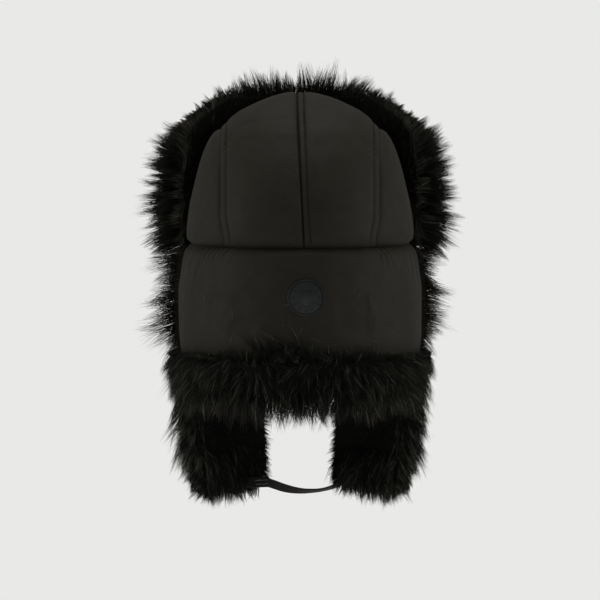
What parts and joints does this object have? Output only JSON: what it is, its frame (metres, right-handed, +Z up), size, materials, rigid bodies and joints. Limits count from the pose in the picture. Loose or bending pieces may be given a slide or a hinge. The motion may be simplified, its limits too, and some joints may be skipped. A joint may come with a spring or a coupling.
{
  "type": "ushanka",
  "caption": "Padded nylon winter hat with a fur visor, fur ear flaps, a fur neck trim and a flat chin strap.",
  "frame": {"origin": "middle of the head opening, level with the lower edge of the nylon band", "axes": "+Z up towards the crown, +Y towards the face opening and the visor, -Y towards the back of the hat"},
  "size_m": [0.241, 0.2642, 0.3385],
  "materials": {
    "nylon": "matt olive black nylon with a faint soft sheen",
    "fur": "long black fur with fine lighter guard hairs",
    "pile": "short dense black pile",
    "rubber": "matt moulded rubber",
    "webbing": "flat black woven tape",
    "snap": "matt black"
  },
  "bodies": {
    "root": {"crown_centre_left": "nylon", "crown_centre_right": "nylon", "crown_side_left": "nylon", "crown_side_right": "nylon", "neck_band": "nylon", "visor_board": "nylon", "visor_fur": "fur", "neck_fur": "fur", "flap_fur_left": "fur", "flap_fur_right": "fur", "neck_lining": "pile", "flap_lining_left": "pile", "flap_lining_right": "pile", "rubber_patch": "rubber", "strap_tab": "webbing", "chin_strap": "webbing", "strap_snap": "snap"}
  },
  "joints": []
}
